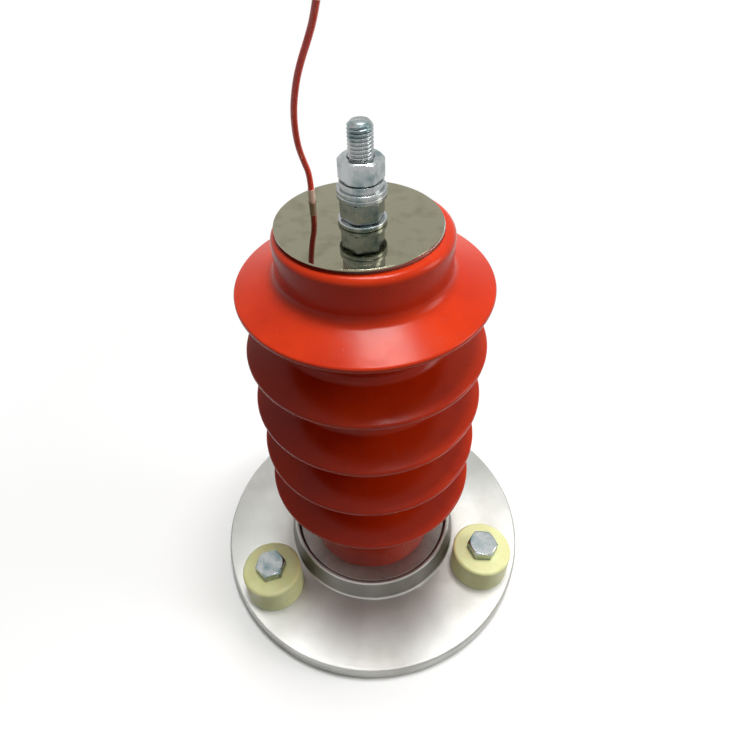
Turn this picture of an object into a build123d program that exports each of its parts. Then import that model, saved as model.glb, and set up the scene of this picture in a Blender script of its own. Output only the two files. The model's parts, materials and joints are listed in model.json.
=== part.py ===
"""Metal-oxide surge arrester of the polymer-housed, flange-mounted kind.

A red silicone housing with five sheds is moulded round a glass-fibre tube.  The tube holds a column of
zinc-oxide blocks, clamped by disc springs between two aluminium end fittings.  The lower fitting is
spigoted into the collar of a round aluminium flange, whose three mounting bolts stand in shouldered
insulating bushings.  A bright nameplate covers the upper fitting, with an M12 line terminal stud
through its centre and a thin insulated lead out of a ferrule beside it.

Frame: +Z is the arrester's axis, the origin is the centre of the flange's underside, and all sizes are
in millimetres.
"""
from build123d import *
import math
import os

# ---------------------------------------------------------------- flange
flange_thick = 12.0
flange_edge = 1.2            # edge break on the rim
collar_wall = 3.0            # at the collar's top
collar_flare = 3.0           # its outside is this much larger all round at its foot
collar_height = 16.0
collar_bore_dia = 116.0
bolt_collar_gap = 4.5        # from the collar's foot to a bushing's head
bolt_edge = 25.5             # from a bolt's axis to the flange's rim
bolt_count = 3
first_bolt_angle = -26.0
flange_hole_dia = 23.6

# ---------------------------------------------------------------- base bolts and bushings
bush_head_dia = 42.0
bush_head_height = 24.0
bush_head_round = 2.2
bush_spigot_dia = 23.0
bush_spigot_short = 0.6      # the spigot ends this far above the flange's underside
bush_bore_dia = 12.6
bolt_dia = 12.0
bolt_head_flats = 19.0
bolt_head_height = 7.5
bolt_end_short = 1.5         # the bolt ends this far above the flange's underside

# ---------------------------------------------------------------- centre screw under the flange
screw_dia = 10.0
screw_hole_dia = 10.6
screw_head_dia = 16.0
screw_head_height = 6.0
screw_pocket_dia = 17.5
screw_pocket_depth = 6.6
screw_socket_flats = 7.0
screw_socket_depth = 3.5
screw_length = 25.0
screw_end_room = 2.0         # tapped depth left beyond the screw's end

# ---------------------------------------------------------------- lower end fitting
foot_disc_clear = 0.7        # radial gap in the collar
foot_disc_thick = 13.1
spigot_height = 22.0

# ---------------------------------------------------------------- glass-fibre tube and seals
tube_inner_dia = 63.0
tube_wall = 5.0
tube_fit = 0.05              # radial gap between tube and spigot, and between housing and tube
seal_section = 3.0
seal_inset = 7.0             # from a spigot's free end to the middle of its seal

# ---------------------------------------------------------------- active column
block_gap = 1.5              # radial gap between the blocks and the tube
block_height = 28.0
block_count = 6
block_chamfer = 1.0
contact_thick = 3.0          # soft aluminium discs between blocks
contact_inset = 3.0          # a contact disc is this much smaller all round than a block
end_plate_thick = 4.0
spring_count = 4
spring_inset = 5.0
spring_inner_dia = 25.4
spring_thick = 2.0
spring_cone = 1.0

# ---------------------------------------------------------------- upper end fitting
cap_overhang = 3.5           # the fitting's flange reaches this far beyond the tube
cap_flange_thick = 15.0

# ---------------------------------------------------------------- silicone housing
rubber_wall = 9.25           # silicone over the tube
shed_reach = 22.75           # how far a shed stands out of the trunk
shed_count = 5
shed_pitch = 39.4
top_shed_drop = 33.2         # from the housing's top to the edge of its top shed
shed_edge_thick = 3.4
shed_top_rise = 8.0          # how far the upper face climbs from edge to trunk
shed_under_rise = 2.5        # how far the underside climbs from edge to trunk
shed_top_root = 6.0          # fillet where the upper face meets the trunk
shed_under_root = 4.0
rim_round = 4.0              # rounded edge at the top of the housing
rim_step = 2.9               # the rim's top lies this far under the nameplate's face
housing_clear = 0.1          # radial gap to the upper fitting

# ---------------------------------------------------------------- nameplate
nameplate_overlap = 1.5      # it is this much larger all round than the upper fitting
nameplate_thick = 1.0
nameplate_shift = -2.0       # it lies this far off the axis, along X
nameplate_hole_dia = 13.5

# ---------------------------------------------------------------- terminal stud, nuts and washers
stud_dia = 12.0
stud_engaged_dia = 10.86     # pitch diameter, where the thread sits in a nut or a tapped hole
thread_runout = 0.5          # the free thread's full diameter starts this far above the upper nut
stud_length = 69.0
stud_depth = 20.0            # how deep it is screwed into the upper fitting
stud_point = 1.8             # chamfer at the free end
thread_fit = 0.05            # radial gap between a thread and its nut
nut_flats = 19.0
nut_height = 10.8
washer_dia = 24.0
washer_hole_dia = 13.0
washer_thick = 2.5
spring_washer_dia = 21.1
spring_washer_hole_dia = 12.4
spring_washer_thick = 3.3
spring_washer_gap = 1.8
lower_nut_turn = 12.0        # how the hexagons happen to stand, in degrees
base_bolt_turn = 20.0        # from one base bolt's hexagon to the next
upper_nut_turn = -1.0

# ---------------------------------------------------------------- lead
lead_dia = 3.0
lead_x, lead_y = -25.4, 19.7
ferrule_dia = 3.5
ferrule_above = 7.0         # how far the ferrule stands out of the nameplate
ferrule_socket = 6.0         # how deep it is seated in the upper fitting
ferrule_fit = 0.03           # radial gap in the socket
nameplate_lead_hole_dia = 4.4
# route of the lead above the ferrule, as offsets from the ferrule's tip
lead_route = [
    (0.0, 0.0, 0.0),
    (0.0, 0.0, 7.8),
    (-2.0, -2.8, 16.0),
    (-3.3, -8.2, 25.6),
    (-3.4, -12.7, 36.1),
    (-2.4, -17.1, 46.7),
    (0.3, -21.3, 58.3),
    (3.2, -23.5, 66.3),
    (6.8, -24.7, 74.3),
    (9.9, -28.2, 82.4),
    (11.8, -32.8, 90.0),
]
lug_barrel_dia = 4.8
lug_barrel_length = 8.0
lug_tongue_dia = 9.5
lug_hole_dia = 5.3
lug_thick = 1.1
lug_reach = 8.5              # from the barrel's mouth side to the hole's centre

# ---------------------------------------------------------------- levels worked out from the sizes
deck = flange_thick                                   # the flange's upper face
foot_top = deck + foot_disc_thick                     # the housing and the tube stand here
spigot_top = foot_top + spigot_height
tube_outer_dia = tube_inner_dia + 2 * tube_wall
trunk_dia = tube_outer_dia + 2 * rubber_wall
shed_dia = trunk_dia + 2 * shed_reach
cap_flange_dia = tube_outer_dia + 2 * cap_overhang
nameplate_dia = cap_flange_dia + 2 * nameplate_overlap
block_dia = tube_inner_dia - 2 * block_gap
contact_dia = block_dia - 2 * contact_inset
spring_outer_dia = block_dia - 2 * spring_inset
collar_top_dia = collar_bore_dia + 2 * collar_wall
collar_foot_dia = collar_top_dia + 2 * collar_flare
bolt_circle_dia = collar_foot_dia + bush_head_dia + 2 * bolt_collar_gap
flange_dia = bolt_circle_dia + 2 * bolt_edge
spring_pitch = spring_thick + spring_cone
column_height = (2 * end_plate_thick + block_count * block_height
                 + (block_count - 1) * contact_thick + spring_count * spring_pitch)
cap_spigot_base = spigot_top + column_height
cap_base = cap_spigot_base + spigot_height            # underside of the upper fitting's flange
cap_top = cap_base + cap_flange_thick
plate_top = cap_top + nameplate_thick
rim_top = plate_top - rim_step
stud_base = cap_top - stud_depth
upper_nut_top = plate_top + 3 * washer_thick + spring_washer_thick + 2 * nut_height


def disc(dia, low, high):
    """A plain round disc on the axis, between two heights."""
    return Pos(0, 0, low) * Cylinder(dia / 2, high - low, align=(Align.CENTER, Align.CENTER, Align.MIN))


def turned(points):
    """The solid turned about the axis from a closed outline of (radius, height) points."""
    outline = Plane.XZ * Polyline(*points, close=True)
    return revolve(make_face(outline), Axis.Z)


def bolt_places():
    """Where the base bolts stand, with the turn of each."""
    for n in range(bolt_count):
        angle = first_bolt_angle - n * 360 / bolt_count
        yield n + 1, Rot(0, 0, angle) * Pos(bolt_circle_dia / 2, 0, 0)


def hexagon(flats, low, high, turn=0.0):
    """A hexagonal prism on the axis."""
    outline = Rot(0, 0, turn) * RegularPolygon(flats / 2, 6, major_radius=False)
    return Pos(0, 0, low) * extrude(outline, high - low)


def corner_cone(flats, low, high, upper=True, lower=True):
    """The turned blank that takes the corners off a hexagon's ends at 30 degrees."""
    corner = flats / math.sqrt(3)
    crown = flats / 2 * 0.95
    drop = (corner - crown) * math.tan(math.radians(30)) + 0.05
    reach = corner + 0.05
    points = [(0, low), (crown if lower else reach, low)]
    if lower:
        points.append((reach, low + drop))
    if upper:
        points.append((reach, high - drop))
    points += [(crown if upper else reach, high), (0, high)]
    return turned(points)


def seal_ring(middle_dia, height):
    """An O-ring lying level on the axis."""
    section = Plane.XZ * (Pos(middle_dia / 2, height) * Circle(seal_section / 2))
    return revolve(section, Axis.Z)


def seal_groove(spigot_dia, height):
    """The square groove that holds a seal ring in a spigot."""
    half = seal_section / 2 + 0.2
    return disc(spigot_dia + 2, height - half, height + half) - disc(
        spigot_dia - 2 * seal_section, height - half, height + half)


# ---------------------------------------------------------------- flange and what is fixed to it
def make_flange():
    rim = flange_dia / 2
    body = turned([
        (0, 0), (rim - flange_edge, 0), (rim, flange_edge), (rim, deck - flange_edge),
        (rim - flange_edge, deck), (collar_foot_dia / 2, deck),
        (collar_top_dia / 2, deck + collar_height), (collar_bore_dia / 2, deck + collar_height),
        (collar_bore_dia / 2, deck), (0, deck)])
    collar_rims = body.edges().filter_by(GeomType.CIRCLE).filter_by(
        lambda e: abs(e.center().Z - deck - collar_height) < 0.01)
    body = chamfer(collar_rims, 0.8)
    foot = body.edges().filter_by(GeomType.CIRCLE).filter_by(
        lambda e: abs(e.center().Z - deck) < 0.01 and abs(e.radius - collar_foot_dia / 2) < 0.01)
    body = fillet(foot, 1.5)
    body -= disc(screw_hole_dia, 0, deck)
    body -= disc(screw_pocket_dia, 0, screw_pocket_depth)
    for _, place in bolt_places():
        body -= place * disc(flange_hole_dia, -1, deck + 1)
    return body


def make_bushing(place):
    head = disc(bush_head_dia, deck, deck + bush_head_height)
    head = fillet(head.edges().group_by(Axis.Z)[-1], bush_head_round)
    body = head + disc(bush_spigot_dia, bush_spigot_short, deck)
    body -= disc(bush_bore_dia, 0, deck + bush_head_height + 1)
    return place * body


def make_base_bolt(place, turn):
    seat = deck + bush_head_height
    head = hexagon(bolt_head_flats, seat, seat + bolt_head_height, turn)
    head &= corner_cone(bolt_head_flats, seat, seat + bolt_head_height, lower=False)
    shank = disc(bolt_dia, bolt_end_short, seat)
    shank = chamfer(shank.edges().group_by(Axis.Z)[0], 1.2)
    return place * (head + shank)


def make_centre_screw():
    head = disc(screw_head_dia, screw_pocket_depth - screw_head_height, screw_pocket_depth)
    head -= hexagon(screw_socket_flats, 0, screw_pocket_depth - screw_head_height + screw_socket_depth)
    shank = disc(screw_dia, screw_pocket_depth, screw_pocket_depth + screw_length)
    shank = chamfer(shank.edges().group_by(Axis.Z)[-1], 1.2)
    return head + shank


# ---------------------------------------------------------------- end fittings, tube and seals
spigot_dia = tube_inner_dia - 2 * tube_fit
seal_dia = spigot_dia - seal_section
foot_seal_height = spigot_top - seal_inset
cap_seal_height = cap_spigot_base + seal_inset


def make_foot_fitting():
    outer = collar_bore_dia / 2 - foot_disc_clear
    body = turned([
        (0, deck), (outer, deck), (outer, foot_top - 0.8), (outer - 0.8, foot_top),
        (spigot_dia / 2, foot_top), (spigot_dia / 2, spigot_top), (0, spigot_top)])
    body -= seal_groove(spigot_dia, foot_seal_height)
    thread_end = screw_pocket_depth + screw_length + screw_end_room
    body -= disc(screw_dia + 2 * thread_fit, deck, thread_end)
    return body


def make_cap_fitting():
    body = turned([
        (0, cap_spigot_base), (spigot_dia / 2, cap_spigot_base), (spigot_dia / 2, cap_base),
        (cap_flange_dia / 2, cap_base), (cap_flange_dia / 2, cap_top), (0, cap_top)])
    body -= seal_groove(spigot_dia, cap_seal_height)
    body -= disc(stud_engaged_dia + 2 * thread_fit, stud_base, cap_top)
    body -= Pos(lead_x, lead_y, 0) * disc(ferrule_dia + 2 * ferrule_fit, cap_top - ferrule_socket, cap_top)
    return body


def make_tube():
    return disc(tube_outer_dia, foot_top, cap_base) - disc(tube_inner_dia, foot_top, cap_base)


# ---------------------------------------------------------------- active column
def make_block(low):
    body = disc(block_dia, low, low + block_height)
    return chamfer(body.edges(), block_chamfer)


def make_disc_spring(low, dished_up):
    inner, outer = spring_inner_dia / 2, spring_outer_dia / 2
    near, far = (spring_cone, 0.0) if dished_up else (0.0, spring_cone)
    return turned([(inner, low + near), (outer, low + far), (outer, low + far + spring_thick),
                   (inner, low + near + spring_thick)])


def column_pieces():
    """The active column from its lower end plate to its springs, as (name, solid) pairs."""
    level = spigot_top
    yield "lower_end_plate", disc(contact_dia, level, level + end_plate_thick)
    level += end_plate_thick
    for n in range(1, block_count + 1):
        yield f"zinc_oxide_block_{n}", make_block(level)
        level += block_height
        if n < block_count:
            yield f"contact_disc_{n}", disc(contact_dia, level, level + contact_thick)
            level += contact_thick
    yield "upper_end_plate", disc(contact_dia, level, level + end_plate_thick)
    level += end_plate_thick
    for n in range(spring_count):
        yield f"disc_spring_{n + 1}", make_disc_spring(level + n * spring_pitch, n % 2 == 0)


# ---------------------------------------------------------------- housing
def housing_outline():
    """Outer outline of the housing from its foot up, as points, and the fillet of each corner."""
    trunk, edge = trunk_dia / 2, shed_dia / 2
    half = shed_edge_thick / 2
    points, rounds = [(trunk, foot_top)], [0.0]
    for n in reversed(range(shed_count)):
        level = rim_top - top_shed_drop - n * shed_pitch
        points += [(trunk, level - half + shed_under_rise), (edge, level - half),
                   (edge, level + half), (trunk, level + half + shed_top_rise)]
        rounds += [shed_under_root, half * 0.9, half * 0.9, shed_top_root]
    return points + [(trunk, rim_top)], rounds + [rim_round]


def make_housing():
    points, rounds = housing_outline()
    bore = tube_outer_dia / 2 + tube_fit
    seat = cap_flange_dia / 2 + housing_clear
    inner = [(seat, rim_top), (seat, cap_base), (bore, cap_base), (bore, foot_top)]
    face = make_face(Plane.XZ * Polyline(*points, *inner, close=True))
    for radius in sorted(set(rounds) - {0.0}, reverse=True):
        spots = [Vector(r, 0, z) for (r, z), size in zip(points, rounds) if size == radius]
        corners = [v for v in face.vertices() if any((Vector(v) - s).length < 0.01 for s in spots)]
        face = fillet(corners, radius)
    return revolve(face, Axis.Z)


# ---------------------------------------------------------------- nameplate and terminal
def make_nameplate():
    plate = Pos(nameplate_shift, 0, 0) * disc(nameplate_dia, cap_top, plate_top)
    plate -= disc(nameplate_hole_dia, cap_top, plate_top)
    plate -= Pos(lead_x, lead_y, 0) * disc(nameplate_lead_hole_dia, cap_top, plate_top)
    return plate


def make_stud():
    tip = stud_base + stud_length
    shoulder = upper_nut_top + thread_runout
    engaged, free = stud_engaged_dia / 2, stud_dia / 2
    return turned([(0, stud_base), (engaged - stud_point, stud_base), (engaged, stud_base + stud_point),
                   (engaged, shoulder), (free, shoulder), (free, tip - stud_point), (free - stud_point, tip),
                   (0, tip)])


def make_nut(low, turn):
    body = hexagon(nut_flats, low, low + nut_height, turn) & corner_cone(nut_flats, low, low + nut_height)
    bore = stud_engaged_dia / 2 + thread_fit
    body -= disc(2 * bore, low, low + nut_height)
    mouths = body.edges().filter_by(GeomType.CIRCLE).filter_by(lambda e: abs(e.radius - bore) < 0.01)
    return chamfer(mouths, 0.6)


def make_washer(low):
    body = disc(washer_dia, low, low + washer_thick) - disc(washer_hole_dia, low, low + washer_thick)
    rims = body.edges().filter_by(GeomType.CIRCLE).filter_by(lambda e: e.radius > washer_hole_dia / 2 + 1)
    return chamfer(rims, 0.4)


def make_spring_washer(low):
    body = disc(spring_washer_dia, low, low + spring_washer_thick)
    body -= disc(spring_washer_hole_dia, low, low + spring_washer_thick)
    split = Box(spring_washer_dia, spring_washer_gap, 4 * spring_washer_thick,
                align=(Align.MIN, Align.CENTER, Align.CENTER))
    return body - Pos(0, 0, low + spring_washer_thick / 2) * Rot(30, 0, 0) * split


def terminal_pieces():
    """The hardware on the stud from the nameplate up, as (name, solid) pairs."""
    level = plate_top
    yield "terminal_base_washer", make_washer(level)
    level += washer_thick
    yield "terminal_lower_nut", make_nut(level, lower_nut_turn)
    level += nut_height
    for n in (1, 2):
        yield f"terminal_clamp_washer_{n}", make_washer(level)
        level += washer_thick
    yield "terminal_spring_washer", make_spring_washer(level)
    level += spring_washer_thick
    yield "terminal_upper_nut", make_nut(level, upper_nut_turn)


# ---------------------------------------------------------------- lead
def lead_points():
    start = Vector(lead_x, lead_y, plate_top + ferrule_above)
    return [start + Vector(*step) for step in lead_route]


def corner_radii(points):
    """The largest easy radius at each inner point of a route: 0.45 of the shorter run over tan of half the turn."""
    radii = []
    for before, here, after in zip(points, points[1:], points[2:]):
        turn = math.radians((here - before).get_angle(after - here))
        run = min((here - before).length, (after - here).length)
        radii.append(0.45 * run / math.tan(turn / 2))
    return radii


def make_ferrule():
    low = cap_top - ferrule_socket
    return Pos(lead_x, lead_y, 0) * disc(ferrule_dia, low, plate_top + ferrule_above)


def make_lead():
    points = lead_points()
    radii = corner_radii(points)
    print("lead radii", [round(r) for r in radii])
    path = FilletPolyline(*points, radius=radii)
    section = Plane(origin=points[0], z_dir=points[1] - points[0]) * Circle(lead_dia / 2)
    lead = sweep(section, path=path)
    print("lead length", round(path.length, 1), "volume ratio",
          round(lead.volume / (path.length * math.pi * lead_dia ** 2 / 4), 4))
    return lead


def make_lug():
    """Crimped ring terminal on the lead's free end."""
    points = lead_points()
    along = (points[-1] - points[-2]).normalized()
    frame = Plane(origin=points[-1], z_dir=along)
    barrel = Cylinder(lug_barrel_dia / 2, lug_barrel_length, align=(Align.CENTER, Align.CENTER, Align.MIN))
    middle = lug_barrel_length + lug_reach
    tongue = Plane.XZ * (Pos(0, middle) * Circle(lug_tongue_dia / 2)
                         + Pos(0, middle - lug_reach / 2 - 1) * Rectangle(lug_barrel_dia, lug_reach + 2)
                         - Pos(0, middle) * Circle(lug_hole_dia / 2))
    return frame * (barrel + extrude(tongue, lug_thick / 2, both=True))


# ---------------------------------------------------------------- the whole arrester
def all_pieces():
    yield "mounting_flange", make_flange()
    for n, place in bolt_places():
        yield f"insulating_bushing_{n}", make_bushing(place)
        yield f"base_bolt_{n}", make_base_bolt(place, base_bolt_turn * n)
    yield "centre_screw", make_centre_screw()
    yield "foot_fitting", make_foot_fitting()
    yield "foot_seal", seal_ring(seal_dia, foot_seal_height)
    yield "glass_fibre_tube", make_tube()
    yield from column_pieces()
    yield "cap_fitting", make_cap_fitting()
    yield "cap_seal", seal_ring(seal_dia, cap_seal_height)
    yield "silicone_housing", make_housing()
    yield "nameplate", make_nameplate()
    yield "terminal_stud", make_stud()
    yield from terminal_pieces()
    yield "lead_ferrule", make_ferrule()
    yield "lead_wire", make_lead()
    yield "lead_lug", make_lug()


os.makedirs("parts", exist_ok=True)
for name, shape in all_pieces():
    export_step(shape, f"parts/{name}.step")
print("plate_top", plate_top, "cap_base", cap_base, "stud tip", stud_base + stud_length)
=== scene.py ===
"""Looks of the surge arrester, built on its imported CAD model.  Sizes below are in millimetres in the CAD
frame: +Z is the arrester's axis and the origin is the centre of the flange's underside."""
import json
import math

import bpy
from mathutils import Matrix, Vector


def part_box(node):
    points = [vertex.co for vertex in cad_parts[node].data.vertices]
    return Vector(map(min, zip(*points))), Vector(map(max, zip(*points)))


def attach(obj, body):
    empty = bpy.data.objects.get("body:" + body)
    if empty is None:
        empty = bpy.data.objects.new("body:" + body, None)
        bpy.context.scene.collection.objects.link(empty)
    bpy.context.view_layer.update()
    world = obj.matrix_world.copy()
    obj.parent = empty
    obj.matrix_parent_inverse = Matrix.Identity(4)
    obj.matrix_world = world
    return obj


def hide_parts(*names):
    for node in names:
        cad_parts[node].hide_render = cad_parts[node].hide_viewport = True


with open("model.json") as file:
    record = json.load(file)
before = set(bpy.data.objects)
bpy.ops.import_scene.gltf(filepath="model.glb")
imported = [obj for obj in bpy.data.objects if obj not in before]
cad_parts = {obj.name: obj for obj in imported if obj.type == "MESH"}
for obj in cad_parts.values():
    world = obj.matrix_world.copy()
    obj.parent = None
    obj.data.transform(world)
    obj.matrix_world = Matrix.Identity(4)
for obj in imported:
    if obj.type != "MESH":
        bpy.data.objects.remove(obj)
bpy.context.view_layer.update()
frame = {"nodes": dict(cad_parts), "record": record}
nodes = frame["nodes"]
MM = 0.001


# ---------------------------------------------------------------- camera
# Fitted to the photograph's outlines: a phone held close, above and in front, with a wide lens.
camera_away = 249.5          # in front of the arrester's axis
camera_height = 433.2
camera_pitch = 44.29         # degrees below level
camera_roll = 1.97
camera_yaw = 0.25
camera_lens = 28.46
camera_sensor = 36.0
camera_near = 10.0           # nothing closer than this is drawn


def make_camera():
    pitch, roll, yaw = (math.radians(turn) for turn in (camera_pitch, camera_roll, camera_yaw))
    right = Vector((math.cos(yaw), math.sin(yaw), 0))
    ahead = Vector((-math.sin(yaw) * math.cos(pitch), math.cos(yaw) * math.cos(pitch), -math.sin(pitch)))
    up = right.cross(ahead)
    x_axis = math.cos(roll) * right - math.sin(roll) * up
    y_axis = math.sin(roll) * right + math.cos(roll) * up
    turn = Matrix((x_axis, y_axis, -ahead)).transposed().to_4x4()
    data = bpy.data.cameras.new("camera")
    data.sensor_width = camera_sensor
    data.lens = camera_lens
    data.clip_start = camera_near * MM
    camera = bpy.data.objects.new("camera", data)
    camera.matrix_world = Matrix.Translation((0, -camera_away * MM, camera_height * MM)) @ turn
    bpy.context.collection.objects.link(camera)
    bpy.context.scene.camera = camera


make_camera()


# ---------------------------------------------------------------- the lead's route
# The route's points are those of the CAD lead, measured from the top of its ferrule.
ferrule_low, ferrule_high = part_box("lead_ferrule")
lead_exit = Vector(((ferrule_low[0] + ferrule_high[0]) / 2, (ferrule_low[1] + ferrule_high[1]) / 2,
                    ferrule_high[2])) / MM
lead_dia = 3.0
lead_route = [
    (0.0, 0.0, 0.0), (0.0, 0.0, 7.8), (-2.0, -2.8, 16.0), (-3.3, -8.2, 25.6), (-3.4, -12.7, 36.1),
    (-2.4, -17.1, 46.7), (0.3, -21.3, 58.3), (3.2, -23.5, 66.3), (6.8, -24.7, 74.3),
    (9.9, -28.2, 82.4), (11.8, -32.8, 90.0)]


# ---------------------------------------------------------------- shader helpers
class Shader:
    """A small builder for one material's nodes."""

    def __init__(self, name):
        self.material = bpy.data.materials.new(name)
        self.material.use_nodes = True
        self.tree = self.material.node_tree
        self.bsdf = self.tree.nodes["Principled BSDF"]
        self.coords = self.tree.nodes.new("ShaderNodeTexCoord").outputs["Object"]

    def node(self, kind, **settings):
        made = self.tree.nodes.new(kind)
        for key, value in settings.items():
            setattr(made, key, value)
        return made

    def put(self, socket, value):
        if isinstance(value, bpy.types.NodeSocket):
            self.tree.links.new(value, socket)
        else:
            socket.default_value = value

    def set(self, **values):
        for key, value in values.items():
            self.put(self.bsdf.inputs[key.replace("_", " ")], value)

    def math(self, operation, a, b=0.0, c=0.0):
        made = self.node("ShaderNodeMath", operation=operation)
        for socket, value in zip(made.inputs, (a, b, c)):
            self.put(socket, value)
        return made.outputs[0]

    def noise(self, scale, detail=4.0, rough=0.5, stretch=None, distortion=0.0):
        where = self.coords
        if stretch:
            mapping = self.node("ShaderNodeMapping")
            mapping.inputs["Scale"].default_value = stretch
            self.put(mapping.inputs["Vector"], where)
            where = mapping.outputs[0]
        made = self.node("ShaderNodeTexNoise")
        self.put(made.inputs["Vector"], where)
        made.inputs["Scale"].default_value = scale
        made.inputs["Detail"].default_value = detail
        made.inputs["Roughness"].default_value = rough
        made.inputs["Distortion"].default_value = distortion
        return made.outputs["Fac"]

    def spread(self, value, low, high, out_low=0.0, out_high=1.0):
        made = self.node("ShaderNodeMapRange")
        for socket, number in zip(made.inputs, (value, low, high, out_low, out_high)):
            self.put(socket, number)
        return made.outputs[0]

    def blend(self, amount, first, second):
        made = self.node("ShaderNodeMix", data_type="RGBA")
        self.put(made.inputs[0], amount)
        for socket, colour in zip(made.inputs[6:8], (first, second)):
            self.put(socket, colour if isinstance(colour, bpy.types.NodeSocket) else (*colour, 1.0))
        return made.outputs[2]

    def radius(self):
        """Distance from the arrester's axis, in millimetres."""
        split = self.node("ShaderNodeSeparateXYZ")
        self.put(split.inputs[0], self.coords)
        x, y = split.outputs[0], split.outputs[1]
        squares = self.math("ADD", self.math("MULTIPLY", x, x), self.math("MULTIPLY", y, y))
        return self.math("MULTIPLY", self.math("SQRT", squares), 1000.0)

    def painted_sheen_noise(self, scale):
        """A noise that changes only with direction round the Z axis, which paints the sheen of turned metal
        into the colour.
        """
        flat = self.node("ShaderNodeVectorMath", operation="MULTIPLY")
        self.put(flat.inputs[0], self.coords)
        flat.inputs[1].default_value = (1, 1, 0)
        unit = self.node("ShaderNodeVectorMath", operation="NORMALIZE")
        self.put(unit.inputs[0], flat.outputs[0])
        made = self.node("ShaderNodeTexNoise")
        self.put(made.inputs["Vector"], unit.outputs[0])
        made.inputs["Scale"].default_value = scale
        made.inputs["Detail"].default_value = 2.0
        return made.outputs["Fac"]

    def height(self):
        split = self.node("ShaderNodeSeparateXYZ")
        self.put(split.inputs[0], self.coords)
        return self.math("MULTIPLY", split.outputs[2], 1000.0)

    def bump(self, height, depth_mm, strength=1.0, normal=None):
        made = self.node("ShaderNodeBump")
        made.inputs["Strength"].default_value = strength
        made.inputs["Distance"].default_value = depth_mm * MM
        self.put(made.inputs["Height"], height)
        if normal is not None:
            self.put(made.inputs["Normal"], normal)
        return made.outputs[0]

    def soft_edges(self, radius_mm):
        made = self.node("ShaderNodeBevel", samples=6)
        made.inputs["Radius"].default_value = radius_mm * MM
        return made.outputs[0]


# ---------------------------------------------------------------- materials
def silicone():
    """Glossy moulded silicone with faint patches, a little grime, pale specks and a soft waviness."""
    s = Shader("silicone_red")
    patch = s.noise(28, 3, 0.55)
    grime = s.spread(s.noise(160, 5, 0.6), 0.52, 0.75)
    colour = s.blend(s.spread(patch, 0.35, 0.7), (0.45, 0.021, 0.002), (0.55, 0.032, 0.003))
    colour = s.blend(s.math("MULTIPLY", grime, 0.18), colour, (0.30, 0.02, 0.012))
    specks = s.spread(s.noise(900, 2, 0.5), 0.72, 0.78)
    colour = s.blend(s.math("MULTIPLY", specks, 0.25), colour, (0.75, 0.35, 0.28))
    rough = s.math("ADD", s.spread(patch, 0.3, 0.7, 0.17, 0.25), s.math("MULTIPLY", grime, 0.10))
    waves = s.bump(s.noise(55, 2, 0.5), 0.35, 0.45)
    s.set(Base_Color=colour, Roughness=rough, IOR=1.40, Specular_IOR_Level=0.20,
          Normal=s.bump(s.noise(1300, 3, 0.6), 0.02, 0.35, waves))
    return s.material


def turned_aluminium():
    """Turned flange: fine rings, a painted sheen that changes with direction, stain, and painted shade round
    the collar.
    """
    s = Shader("flange_aluminium")
    r = s.radius()
    fine = s.math("SINE", s.math("MULTIPLY", r, 14.0))
    coarse = s.math("SINE", s.math("ADD", s.math("MULTIPLY", r, 2.3), s.math("MULTIPLY", s.noise(9, 2), 3.0)))
    rings = s.math("ADD", fine, s.math("MULTIPLY", coarse, 0.5))
    stain = s.spread(s.noise(17, 5, 0.6), 0.42, 0.72)
    colour = s.blend(stain, (0.52, 0.52, 0.50), (0.40, 0.39, 0.36))
    # painted sheen: darker wedges round the axis stand in for the cone highlights of turned metal
    colour = s.blend(s.spread(s.painted_sheen_noise(1.6), 0.38, 0.62, 0.55, 0.0), colour, (0.30, 0.30, 0.28))
    # painted shade: darker towards the collar, under the overhanging sheds
    colour = s.blend(s.spread(r, 64, 84, 0.45, 0.0), colour, (0.34, 0.31, 0.28))
    rough = s.math("ADD", s.spread(stain, 0, 1, 0.36, 0.46), s.math("MULTIPLY", s.noise(420, 3), 0.08))
    tangent = s.node("ShaderNodeTangent", direction_type="RADIAL", axis="Z")
    edges = s.soft_edges(0.4)
    scratched = s.bump(s.noise(240, 4, 0.7, stretch=(1, 0.12, 1)), 0.02, 0.25, edges)
    s.set(Base_Color=colour, Metallic=1.0, Roughness=rough, Anisotropic=0.75,
          Tangent=tangent.outputs[0], Normal=s.bump(rings, 0.012, 0.5, scratched))
    return s.material


def fitting_aluminium():
    s = Shader("fitting_aluminium")
    rings = s.math("SINE", s.math("MULTIPLY", s.radius(), 12.0))
    dirt = s.spread(s.noise(60, 4, 0.6), 0.4, 0.7)
    tangent = s.node("ShaderNodeTangent", direction_type="RADIAL", axis="Z")
    s.set(Base_Color=s.blend(dirt, (0.38, 0.37, 0.34), (0.25, 0.24, 0.22)), Metallic=1.0,
          Roughness=s.spread(dirt, 0, 1, 0.42, 0.55), Anisotropic=0.6,
          Tangent=tangent.outputs[0], Normal=s.bump(rings, 0.015, 0.5, s.soft_edges(0.6)))
    return s.material


def nylon():
    """Cream nylon of the bushings, slightly see-through, with turning marks."""
    s = Shader("bushing_cream")
    mottle = s.spread(s.noise(75, 4, 0.6), 0.35, 0.7)
    colour = s.blend(mottle, (0.78, 0.79, 0.42), (0.70, 0.70, 0.32))
    turned = s.math("SINE", s.math("MULTIPLY", s.height(), 9.0))
    s.set(Base_Color=colour, Roughness=s.spread(mottle, 0, 1, 0.3, 0.42), Subsurface_Weight=0.25,
          Subsurface_Scale=0.004, IOR=1.53,
          Normal=s.bump(turned, 0.015, 0.4, s.bump(s.noise(500, 4, 0.6), 0.03, 0.35, s.soft_edges(0.5))))
    return s.material


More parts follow.
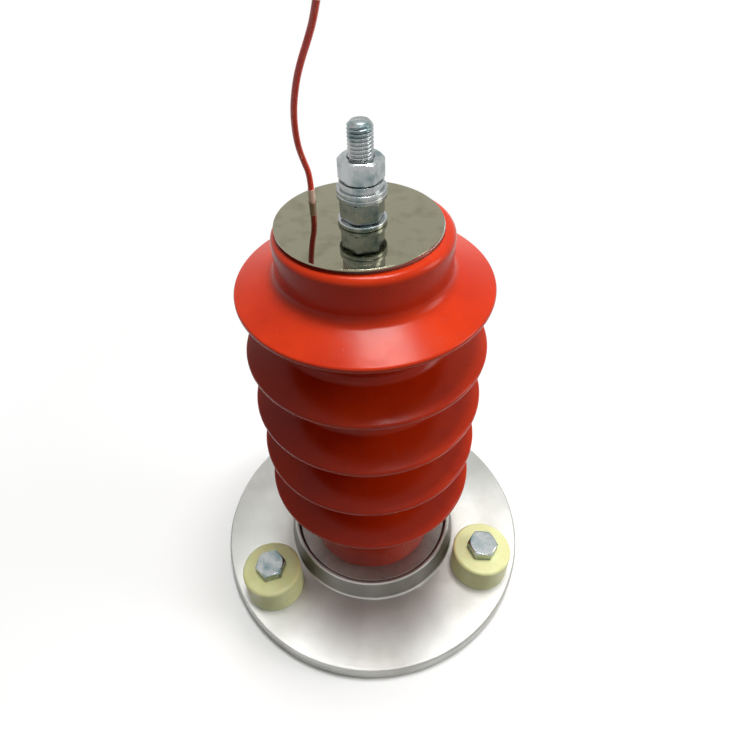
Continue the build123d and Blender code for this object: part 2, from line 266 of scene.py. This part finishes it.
def zinc():
    """Zinc-plated steel with a bluish tint and worn places.  It is dark, as all round it is white."""
    s = Shader("zinc_steel")
    tint = s.spread(s.noise(95, 3, 0.6), 0.42, 0.66)
    colour = s.blend(tint, (0.40, 0.42, 0.42), (0.15, 0.21, 0.22))
    worn = s.spread(s.noise(260, 5, 0.65), 0.60, 0.76)
    colour = s.blend(s.math("MULTIPLY", worn, 0.35), colour, (0.22, 0.21, 0.19))
    rough = s.math("ADD", s.spread(tint, 0, 1, 0.24, 0.32), s.math("MULTIPLY", worn, 0.15))
    s.set(Base_Color=colour, Metallic=1.0, Roughness=rough,
          Normal=s.bump(s.noise(700, 4, 0.6), 0.03, 0.35, s.soft_edges(0.35)))
    return s.material


def mirror():
    """Polished nameplate with haze, a slight waviness and hairline scratches, bare of any marking. Its dark
    olive colour is a painted reflection of the dim room, as all round it is white.
    """
    s = Shader("mirror_steel")
    haze = s.spread(s.noise(90, 4, 0.6), 0.5, 0.8)
    # painted reflection: the dark olive colour stands in for the dim room that the mirror reflects
    colour = s.blend(haze, (0.27, 0.26, 0.18), (0.18, 0.17, 0.11))
    waves = s.bump(s.noise(30, 2, 0.5), 0.06, 0.35, s.soft_edges(0.5))
    scratches = s.bump(s.noise(500, 3, 0.7, stretch=(1, 0.05, 1), distortion=0.3), 0.004, 0.4, waves)
    s.set(Base_Color=colour, Metallic=1.0, Roughness=s.spread(haze, 0, 1, 0.03, 0.10), Normal=scratches)
    return s.material


def insulation():
    s = Shader("lead_red")
    patch = s.spread(s.noise(200, 3), 0.35, 0.7)
    s.set(Base_Color=s.blend(patch, (0.80, 0.045, 0.022), (0.66, 0.030, 0.016)),
          Roughness=s.spread(patch, 0, 1, 0.24, 0.36), IOR=1.5,
          Normal=s.bump(s.noise(900, 3), 0.02, 0.4))
    return s.material


def sleeve():
    s = Shader("ferrule_clear")
    patch = s.spread(s.noise(300, 3), 0.35, 0.7)
    s.set(Base_Color=s.blend(patch, (0.80, 0.60, 0.55), (0.72, 0.45, 0.40)), Roughness=0.25,
          Subsurface_Weight=0.4, Subsurface_Scale=0.002, Normal=s.bump(s.noise(800, 3), 0.03, 0.4))
    return s.material


def plain_metal(name, first, second, low, high):
    s = Shader(name)
    patch = s.spread(s.noise(220, 4, 0.6), 0.38, 0.7)
    s.set(Base_Color=s.blend(patch, first, second), Metallic=1.0, Roughness=s.spread(patch, 0, 1, low, high),
          Normal=s.bump(s.noise(800, 4), 0.02, 0.4, s.soft_edges(0.2)))
    return s.material


def plain_solid(name, first, second, low, high):
    s = Shader(name)
    patch = s.spread(s.noise(150, 4, 0.6), 0.38, 0.7)
    s.set(Base_Color=s.blend(patch, first, second), Roughness=s.spread(patch, 0, 1, low, high),
          Normal=s.bump(s.noise(600, 4), 0.03, 0.4, s.soft_edges(0.2)))
    return s.material


materials = {
    "silicone_red": silicone(), "flange_aluminium": turned_aluminium(),
    "fitting_aluminium": fitting_aluminium(), "bushing_cream": nylon(), "zinc_steel": zinc(),
    "mirror_steel": mirror(), "lead_red": insulation(), "ferrule_clear": sleeve(),
    "lug_tin": plain_metal("lug_tin", (0.75, 0.75, 0.74), (0.6, 0.6, 0.59), 0.2, 0.32),
    "spring_steel": plain_metal("spring_steel", (0.25, 0.25, 0.26), (0.16, 0.16, 0.17), 0.35, 0.5),
    "seal_black": plain_solid("seal_black", (0.02, 0.02, 0.02), (0.035, 0.035, 0.035), 0.45, 0.6),
    "glass_fibre": plain_solid("glass_fibre", (0.55, 0.52, 0.35), (0.45, 0.42, 0.28), 0.35, 0.5),
    "zinc_oxide": plain_solid("zinc_oxide", (0.10, 0.10, 0.11), (0.07, 0.07, 0.08), 0.4, 0.6),
}


# ---------------------------------------------------------------- mesh helpers
def show(name, points, faces, slot, node, smooth_angle=32.0):
    """Makes the mesh that stands for one CAD node."""
    mesh = bpy.data.meshes.new(name)
    mesh.from_pydata([Vector(p) * MM for p in points], [], faces)
    mesh.validate()
    mesh.shade_smooth()
    mesh.set_sharp_from_angle(angle=math.radians(smooth_angle))
    mesh.materials.append(materials[slot])
    piece = bpy.data.objects.new(name, mesh)
    bpy.context.collection.objects.link(piece)
    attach(piece, "root")
    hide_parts(node)
    return piece


def rounded(corners, step=12.0):
    """An outline of (radius, height) points from corners given as (radius, height, fillet)."""
    points = []
    for n, (r, z, fillet) in enumerate(corners):
        here = Vector((r, z))
        if not fillet:
            points.append(here)
            continue
        before = (Vector(corners[n - 1][:2]) - here).normalized()
        after = (Vector(corners[(n + 1) % len(corners)][:2]) - here).normalized()
        half = before.angle(after) / 2
        centre = here + (before + after).normalized() * (fillet / math.sin(half))
        first = here + before * (fillet / math.tan(half)) - centre
        sweep = first.angle_signed(here + after * (fillet / math.tan(half)) - centre)
        count = max(3, math.ceil(abs(math.degrees(sweep)) / step))
        for k in range(count + 1):
            turn = -sweep * k / count
            points.append(centre + Vector((first.x * math.cos(turn) - first.y * math.sin(turn),
                                           first.x * math.sin(turn) + first.y * math.cos(turn))))
    return [(p.x, p.y) for p in points]


def ring_faces(around, count):
    """Faces between neighbouring copies of a closed outline of count points, set round the axis."""
    faces = []
    for k in range(around):
        here, there = k * count, (k + 1) % around * count
        for n in range(count):
            m = (n + 1) % count
            faces.append((here + n, there + n, there + m, here + m))
    return faces


def lathe(name, outline, slot, node, around=192):
    """A closed outline turned about the axis."""
    turns = [2 * math.pi * k / around for k in range(around)]
    points = [(r * math.cos(turn), r * math.sin(turn), z) for turn in turns for r, z in outline]
    return show(name, points, ring_faces(around, len(outline)), slot, node)


# ---------------------------------------------------------------- silicone housing
rubber_wall = 9.25           # from the tube's outside to the trunk's
bonded_gap = 0.05            # radial gap between the housing and the tube
seat_gap = 0.1               # radial gap between the housing and the upper fitting
shed_count = 5
shed_pitch = 39.4
top_shed_drop = 33.2         # from the housing's top to the edge of its top shed
shed_edge_half = 1.7         # half the thickness of a shed's edge
shed_edge_round = 0.9        # radius of the edge's corners, as a share of that
shed_top_rise = 8.0          # from a shed's edge up to the root of its upper face
shed_under_rise = 2.5        # the same for its underside, which is hollow by this much
shed_top_root = 6.0          # fillet where the upper face meets the trunk
shed_under_root = 4.0
rim_round = 4.0              # rounded top of the trunk


def housing():
    low, high = (corner / MM for corner in map(Vector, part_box("silicone_housing")))
    tube = Vector(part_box("glass_fibre_tube")[1]) / MM
    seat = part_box("cap_fitting")[1][0] / MM + seat_gap
    trunk, edge, half = tube.x + rubber_wall, high.x, shed_edge_half
    corners = [(trunk, low.z, 0)]
    for n in reversed(range(shed_count)):
        level = high.z - top_shed_drop - n * shed_pitch
        corners += [(trunk, level - half + shed_under_rise, shed_under_root),
                    (edge, level - half, half * shed_edge_round),
                    (edge, level + half, half * shed_edge_round),
                    (trunk, level + half + shed_top_rise, shed_top_root)]
    corners += [(trunk, high.z, rim_round), (seat, high.z, 0), (seat, tube.z, 0),
                (tube.x + bonded_gap, tube.z, 0), (tube.x + bonded_gap, low.z, 0)]
    return lathe("housing_skin", rounded(corners), "silicone_red", "silicone_housing")


# ---------------------------------------------------------------- threaded stud
thread_pitch = 1.75
thread_depth = 1.05
thread_crest = 0.06          # how far the thread's crest lies inside the nominal radius
thread_cut = [0.0, 0.0, 0.06, 0.3, 0.62, 0.92, 1.0, 0.92, 0.62, 0.3]    # depth along one pitch, as a share
thread_around = 40           # points round the stud
stud_point = 1.8             # chamfer on each end


def threaded_stud():
    """A rolled thread from end to end, which runs from crest to root and back once in each pitch."""
    low, high = (corner[2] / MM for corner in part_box("terminal_stud"))
    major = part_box("terminal_stud")[1][0] / MM
    around, per_pitch = thread_around, len(thread_cut)
    rows = round((high - low) / thread_pitch * per_pitch)
    points, faces = [], []
    for row in range(rows + 1):
        z = low + (high - low) * row / rows
        limit = major - max(0.0, stud_point - (high - z)) - max(0.0, stud_point - (z - low))
        for k in range(around):
            phase = ((z - low) / thread_pitch - k / around) % 1.0 * per_pitch
            a = int(phase) % per_pitch
            part = phase - int(phase)
            cut = thread_cut[a] * (1 - part) + thread_cut[(a + 1) % per_pitch] * part
            r = min(major - thread_crest - thread_depth * cut, limit)
            angle = 2 * math.pi * k / around
            points.append((r * math.cos(angle), r * math.sin(angle), z))
    for row in range(rows):
        for k in range(around):
            m = (k + 1) % around
            faces.append((row * around + k, row * around + m, (row + 1) * around + m, (row + 1) * around + k))
    faces.append(tuple(reversed(range(around))))
    faces.append(tuple(rows * around + k for k in range(around)))
    return show("stud_thread", points, faces, "zinc_steel", "terminal_stud", 50.0)


# ---------------------------------------------------------------- nuts
nut_flats = 19.0
nut_crown = 18.1             # diameter of a nut's flat end
nut_bore = 11.9
nut_mouth = 0.6              # chamfer round the bore
nut_chamfer_angle = 30.0     # of the corners' chamfer on both ends, in degrees
nut_around = 180             # points round a nut
nut_side = 60.0              # degrees that one side of the hexagon takes up
lower_nut_corner = 12.0      # degrees round from +X to a corner, as on the CAD nuts
upper_nut_corner = -1.0


def nut(node, corner_at):
    """A hexagon nut with chamfered ends and one corner pointing corner_at degrees round from +X."""
    low, high = (corner[2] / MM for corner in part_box(node))
    apothem, crown, bore, mouth = nut_flats / 2, nut_crown / 2, nut_bore / 2, nut_mouth
    slope = math.tan(math.radians(nut_chamfer_angle))
    points = []
    for k in range(nut_around):
        angle = 2 * math.pi * k / nut_around
        off = (math.degrees(angle) - corner_at) % nut_side - nut_side / 2
        wall = apothem / math.cos(math.radians(off))
        drop = (wall - crown) * slope
        ring = ((bore, low + mouth), (bore + mouth, low), (crown, low), (wall, low + drop),
                (wall, high - drop), (crown, high), (bore + mouth, high), (bore, high - mouth))
        points += [(r * math.cos(angle), r * math.sin(angle), z) for r, z in ring]
    return show(node + "_skin", points, ring_faces(nut_around, len(ring)), "zinc_steel", node, 25.0)


# ---------------------------------------------------------------- lead
def lead():
    data = bpy.data.curves.new("lead_line", "CURVE")
    data.dimensions = "3D"
    line = data.splines.new("NURBS")
    points = [(lead_exit + Vector(step)) * MM for step in lead_route]
    line.points.add(len(points) - 1)
    for spot, place in zip(line.points, points):
        spot.co = (*place, 1.0)
    line.order_u = 3
    line.use_endpoint_u = True
    line.resolution_u = 12
    data.bevel_depth = lead_dia / 2 * MM
    data.bevel_resolution = 6
    data.use_fill_caps = True
    data.materials.append(materials["lead_red"])
    piece = bpy.data.objects.new("lead_skin", data)
    bpy.context.collection.objects.link(piece)
    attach(piece, "root")
    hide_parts("lead_wire")


housing()
threaded_stud()
nut("terminal_lower_nut", lower_nut_corner)
nut("terminal_upper_nut", upper_nut_corner)
lead()

# Every CAD mesh keeps its shape and gets the detailed material of its slot.
slots = {part["node"]: part["material_slot"] for part in frame["record"]["subparts"]}
for name, piece in nodes.items():
    piece.data.materials.clear()
    piece.data.materials.append(materials[slots[name]])


# ---------------------------------------------------------------- surroundings
# Places and sizes of the floor and the lamps are in metres.
floor_reach = 6.0
floor_drop = 0.0002          # the floor lies this far under the flange, so that their faces don't fight
floor_seen = (0.95, 0.95, 0.95)
floor_lit = (0.18, 0.18, 0.17)      # the floor for diffuse light, which keeps the shaded side dark
floor_fade = (150, 420)      # millimetres from the axis where the floor starts to turn white, and is white
room_stops = [(0.0, (0.05, 0.05, 0.045)), (0.2, (0.12, 0.115, 0.09)), (0.45, (0.33, 0.32, 0.23)),
              (0.75, (0.38, 0.38, 0.35)), (0.95, (0.80, 0.81, 0.81))]     # colours from level to overhead
room_side = (-0.8, 0.8, 0.22, 1.0)  # the room is dimmer on the left: from and to along X, then its strengths
lamp_aim = (0, 0, 0.12)
lamps = [("overhead", (0.10, 0.10, 1.30), (0.5, 0.35), 14.0), ("window", (1.3, -0.10, 0.75), (0.5, 0.8), 7.0),
         ("front_fill", (-0.5, -1.3, 0.8), (0.6, 0.5), 0.6)]              # name, place, size, power


def shows_background(tree):
    """1 for camera, glossy and transmission rays, which see the pale background, and 0 for diffuse light."""
    path = tree.nodes.new("ShaderNodeLightPath")
    total = path.outputs["Is Camera Ray"]
    for kind in ("Is Glossy Ray", "Is Transmission Ray"):
        either = tree.nodes.new("ShaderNodeMath")
        either.operation = "MAXIMUM"
        tree.links.new(total, either.inputs[0])
        tree.links.new(path.outputs[kind], either.inputs[1])
        total = either.outputs[0]
    return total


def floor():
    """A pale floor that keeps the object's shadow near it and turns white further out."""
    mesh = bpy.data.meshes.new("floor")
    signs = ((-1, -1), (1, -1), (1, 1), (-1, 1))
    mesh.from_pydata([(x * floor_reach, y * floor_reach, 0) for x, y in signs], [], [(0, 1, 2, 3)])
    s = Shader("floor_paint")
    seen = shows_background(s.tree)
    s.set(Base_Color=s.blend(seen, floor_lit, floor_seen), Roughness=0.6, Specular_IOR_Level=0.1)
    away = s.math("MULTIPLY", seen, s.spread(s.radius(), *floor_fade))
    white = s.node("ShaderNodeEmission")
    fade = s.node("ShaderNodeMixShader")
    s.put(fade.inputs[0], away)
    s.put(fade.inputs[1], s.bsdf.outputs[0])
    s.put(fade.inputs[2], white.outputs[0])
    s.put(s.tree.nodes["Material Output"].inputs["Surface"], fade.outputs[0])
    mesh.materials.append(s.material)
    piece = bpy.data.objects.new("floor", mesh)
    piece.location.z = -floor_drop
    bpy.context.collection.objects.link(piece)


def softbox(name, place, size, power):
    data = bpy.data.lights.new(name, "AREA")
    data.shape = "RECTANGLE"
    data.size, data.size_y = size
    data.energy = power
    piece = bpy.data.objects.new(name, data)
    piece.location = place
    piece.rotation_euler = (Vector(lamp_aim) - Vector(place)).to_track_quat("-Z", "Y").to_euler()
    bpy.context.collection.objects.link(piece)


def surroundings():
    """White behind the object and in its reflections, and a dimmer room for the light that falls on it."""
    world = bpy.data.worlds.new("room")
    bpy.context.scene.world = world
    world.use_nodes = True
    tree = world.node_tree
    tree.nodes.clear()
    coords = tree.nodes.new("ShaderNodeTexCoord")
    split = tree.nodes.new("ShaderNodeSeparateXYZ")
    tree.links.new(coords.outputs["Generated"], split.inputs[0])
    ramp = tree.nodes.new("ShaderNodeValToRGB")
    tree.links.new(split.outputs[2], ramp.inputs[0])
    ramp.color_ramp.elements[0].color = (*room_stops[0][1], 1)
    ramp.color_ramp.elements[1].position = room_stops[-1][0]
    ramp.color_ramp.elements[1].color = (*room_stops[-1][1], 1)
    for place, colour in room_stops[1:-1]:
        ramp.color_ramp.elements.new(place).color = (*colour, 1)
    room = tree.nodes.new("ShaderNodeBackground")
    side = tree.nodes.new("ShaderNodeMapRange")
    tree.links.new(split.outputs[0], side.inputs[0])
    for socket, value in zip(side.inputs[1:5], room_side):
        socket.default_value = value
    tree.links.new(side.outputs[0], room.inputs["Strength"])
    tree.links.new(ramp.outputs[0], room.inputs[0])
    white = tree.nodes.new("ShaderNodeBackground")
    white.inputs["Color"].default_value = (1, 1, 1, 1)
    mix = tree.nodes.new("ShaderNodeMixShader")
    tree.links.new(shows_background(tree), mix.inputs[0])
    tree.links.new(room.outputs[0], mix.inputs[1])
    tree.links.new(white.outputs[0], mix.inputs[2])
    output = tree.nodes.new("ShaderNodeOutputWorld")
    tree.links.new(mix.outputs[0], output.inputs[0])


floor()
surroundings()
for lamp in lamps:
    softbox(*lamp)
bpy.context.scene.view_settings.view_transform = "Standard"
